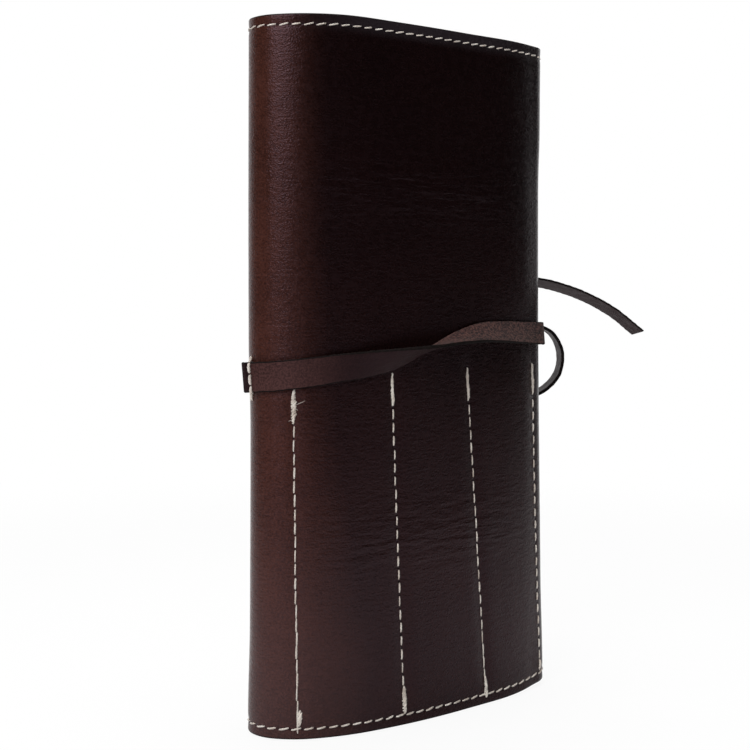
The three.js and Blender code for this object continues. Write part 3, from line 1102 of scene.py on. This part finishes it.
def back_tail_route():
    """Route points of the back tail and the direction of its width at each."""
    bent = sum(radius * math.radians(turn) for radius, turn in BACK_STRETCHES[:2])
    places = [*np.linspace(BACK_ROOT_END, bent, 6)[:-1], *np.linspace(bent, -T_BACK_EDGE - 1, 7)]
    points = [tie_on_back(along)[0] for along in places]
    widths = [UP for _ in places]
    for x, y, height, on_edge, compass in CURL:
        quarter = (on_edge + TAIL_TILT * smooth(1.02, 1.12, on_edge)) * math.pi / 2
        level = np.array([math.cos(math.radians(compass)), math.sin(math.radians(compass)), 0])
        points.append(np.array([x, y, height]))
        widths.append(level * math.sin(quarter) + UP * math.cos(quarter))
    return points, widths


def tie_section():
    """Points once around the tie's section, and the material of the face after each: grain, edge or suede."""
    wide = TIE_WIDTH / 2
    deep = TIE_THICKNESS / 2
    corner = TIE_CORNER
    flat = np.linspace(corner - wide, wide - corner, 11)
    turn = np.radians([30, 60, 90])
    side = [(wide - corner + corner * math.sin(a), deep - corner + corner * math.cos(a)) for a in turn]
    half = [(u, deep) for u in flat] + side + [(u, -v) for u, v in side[::-1]]
    points = half + [(-u, -v) for u, v in half]
    rim = [EDGE] * (2 * len(side) + 1)
    kinds = [OUTER] * (len(flat) - 1) + rim + [INNER] * (len(flat) - 1) + rim
    return np.array(points), kinds


def strap(name, stations, begin, way, ragged=0.4, thin=1.0):
    """A flat thong through stations, each (middle, width direction, grain direction).

    begin is the first station's distance from the spine, and way is 1 on the front and -1 on the back.
    ragged is how uneven its edges are, and its last end is skived to thin of its thickness."""
    section, kinds = tie_section()
    middles, widths, grains = (np.array(each) for each in zip(*stations))
    along = lengths_along(middles)
    u, v = section.T
    wavy = 0.42 * np.sin(along * 2.9 + 1) + 0.33 * np.sin(along * 1.7) + 0.25 * np.sin(along * 5.1)
    fray = np.array([[ragged * (wave * 0.24 + jitter(0.07)) for _ in u] for wave in wavy])
    uneven = 1 + 0.012 * np.sin(along / 5.3) + 0.008 * np.sin(along / 1.9)
    across = u[None, :] * uneven[:, None] + fray * (np.abs(u) > TIE_WIDTH / 2 - 0.4)
    skived = 1 + (thin - 1) * smooth(0.6, 1, along / along[-1])
    deep = v[None, :] * skived[:, None]
    points = middles[:, None] + widths[:, None] * across[..., None] + grains[:, None] * deep[..., None]
    around = len(u)
    last = (len(along) - 1) * around
    ends = [tuple(range(around)), tuple(range(last, last + around))]
    faces = ring_faces(len(along), around) + ends
    slots = kinds * (len(along) - 1) + [EDGE, EDGE]
    uvs = uv_map(way * (begin + along)[:, None], u + v)
    skins = [tie_grain, leather_edge, tie_suede]
    piece = make_piece(name, points, faces, skins, slots, uvs, 2)
    return piece


def laid(middles, widths, narrows):
    """Stations of the tie along middles, grain side out, their widths as near to widths as they can lie."""
    for middle, way, wide, narrow in zip(middles, np.gradient(middles, axis=0), widths, narrows):
        way = unit(way)
        across = unit(wide - way * np.dot(wide, way))
        yield middle, across * narrow, np.cross(across, way)


def declare_tail(piece, middles, body):
    """Makes a tail ride on a body in place of the node of the same name."""
    path = [metres(point) for point in middles]
    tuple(path[0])
    lengths_along(path)[-1]
    stand_for(piece, body, body)


sewn_stations = [tie_on_front(along) for along in even(0, TIE_SEWN_LENGTH, 0.5)]
sewn_part = strap("tie_sewn_leather", sewn_stations, 0, 1)
stand_for(sewn_part, "front_cover", "tie_sewn_part")

front_stations = [tie_on_front(along) for along in even(TIE_SEWN_LENGTH, FRONT_TAIL_END, 0.8)]
front_tail = strap("tie_front_leather", front_stations, TIE_SEWN_LENGTH, 1)
declare_tail(front_tail, [station[0] for station in front_stations], "tie_front_tail")

root_places = even(0, BACK_ROOT_END, 0.5)
root_middles, root_widths, _ = zip(*(tie_on_back(along) for along in root_places))
root_stations = laid(root_middles, root_widths, np.ones(len(root_places)))
back_root = strap("tie_back_root_leather", root_stations, 0, -1)
stand_for(back_root, "back_cover", "tie_back_root")

route, route_widths = back_tail_route()
shares = np.linspace(0, 1, 360)
tail_middles = [through(route, share) for share in shares]
tail_widths = [through(route_widths, share) for share in shares]
back_stations = laid(tail_middles, tail_widths, narrowing(shares))
back_tail = strap("tie_back_leather", back_stations, BACK_ROOT_END, -1, 1.0, TIE_END_THINNED)
declare_tail(back_tail, tail_middles, "tie_back_tail")


def tack_stitch(top, bottom):
    """One stitch of the row that holds the tie to the spine, over the tie's edge where it crosses it."""
    middle, across, grain = tie_on_front(TACK_ALONG)
    share = np.linspace(0, 1, 15)
    z = top + (bottom - top) * share
    arch = 0.26 - 0.5 * (2 * share - 1) ** 6
    on_tie = 1 - smooth(TIE_WIDTH / 2 - 0.2, TIE_WIDTH / 2 + 0.5, np.abs(z - middle[2]))
    leather = cover_skin(TACK_ON_LEATHER, z, -arch)
    reach = (z - middle[2]) / across[2]
    strap_face = middle + across * reach[:, None] + grain * (TIE_THICKNESS / 2 + arch)[:, None]
    points = leather + (strap_face - leather) * on_tie[:, None]
    return tube(points, np.broadcast_to(grain, points.shape), TIE_TACK_RADIUS)


tack = sew("tie_tack_stitches", [tack_stitch(*ends) for ends in TACK_STITCHES])
stand_for(tack, "front_cover", "tie_tack_thread")


# The camera, the floor and the light

def add_camera():
    data = bpy.data.cameras.new("camera")
    data.lens = CAMERA_LENS
    data.sensor_width = 36
    data.shift_y = -HORIZON_ABOVE_MIDDLE
    data.clip_start = 0.01
    camera = add_object("camera", data)
    camera.location = metres(CAMERA_PLACE)
    camera.rotation_euler = (math.radians(90), 0, math.radians(-CAMERA_COMPASS))
    bpy.context.scene.camera = camera


FLOOR_WHITE_NEAR = 0.92
FLOOR_WHITE_REACH = (0.15, 0.5)
# The paper's colour near the case and far off, a painted pool of light round the case
FLOOR_NEAR = 0.8
FLOOR_FAR = 0.45
WHITE_COMPASS = CAMERA_COMPASS - 8
WHITE_REACH = (0.3, 0.7)


def white_side(way):
    """How far a direction points to the white behind the case: 1 straight there, 0 to the side."""
    compass = math.radians(WHITE_COMPASS)
    middle = (math.sin(compass), math.cos(compass), 0)
    return node("VectorMath", {0: way, 1: middle}, operation="DOT_PRODUCT").outputs["Value"]


def white_share(way):
    """How white a place shows: fully to the camera, and in reflections and glass only behind the case."""
    path = node("LightPath", {}, way.id_data).outputs
    mirrored = maths("MAXIMUM", path["Is Glossy Ray"], path["Is Transmission Ray"])
    mirrored = times(mirrored, spread(white_side(way), *WHITE_REACH))
    return maths("MAXIMUM", path["Is Camera Ray"], mirrored)


def add_floor():
    """White paper that keeps the case's shadow and fades into the white behind it. Its own colour is paler
    near the case and greyer far off: a painted pool of light that the case takes bounce and reflections from.
    """
    bpy.ops.mesh.primitive_plane_add(size=8, location=(0, 0, -0.0002))
    floor = bpy.context.object
    floor.name = "case_floor"
    material, tree, shader = new_material("floor")
    place = node("TexCoord", {}, tree).outputs["Object"]
    paper = noise(place, 220, 4)
    far = node("VectorMath", {0: place}, operation="LENGTH").outputs["Value"]
    share = spread(far, *FLOOR_WHITE_REACH, FLOOR_WHITE_NEAR, 1.0)
    way = node("VectorMath", {0: place}, operation="NORMALIZE").outputs["Vector"]
    share = times(share, white_share(way))
    # Painted pool of light: paler paper near the case
    painted_light_pool = spread(far, *FLOOR_WHITE_REACH, FLOOR_NEAR, FLOOR_FAR)
    rough = spread(paper, 0.3, 0.7, 0.75, 0.9)
    set_inputs(shader, {"Base Color": painted_light_pool, "Roughness": rough})
    white = node("Emission", {"Color": WHITE}, tree)
    shown = node("MixShader", {0: share, 1: shader.outputs[0], 2: white.outputs[0]})
    set_inputs(tree.nodes["Material Output"], {0: shown.outputs[0]})
    floor.data.materials.append(material)


WORLD_FRONT = 0.03
WORLD_BEHIND = 0.9


def add_world():
    """White behind the case, as a studio's paper roll is, and dim in front of it."""
    world = bpy.data.worlds.new("studio")
    bpy.context.scene.world = world
    world.use_nodes = True
    tree = world.node_tree
    way = node("TexCoord", {}, tree).outputs["Generated"]
    lit = spread(white_side(way), *WHITE_REACH, WORLD_FRONT, WORLD_BEHIND)
    strength = maths("MAXIMUM", lit, white_share(way))
    set_inputs(tree.nodes["Background"], {"Color": WHITE, "Strength": strength})


def add_softbox(name, place, target, size, power):
    data = bpy.data.lights.new(name, "AREA")
    data.shape = "RECTANGLE"
    data.size, data.size_y = size
    data.energy = power
    lamp = add_object(name, data)
    lamp.location = place
    aim = unit(np.subtract(target, place))
    lamp.rotation_euler = (math.acos(-aim[2]), 0, math.atan2(aim[1], aim[0]) - math.pi / 2)


add_camera()
add_floor()
add_world()
add_softbox("key_softbox", (-0.8, -0.41, 0.72), (0, 0, 0.1), (0.5, 0.8), 7)
add_softbox("top_softbox", (0.02, 0.03, 0.75), (0, 0, 0), (0.35, 0.35), 4.5)
bpy.context.scene.view_settings.view_transform = "Standard"
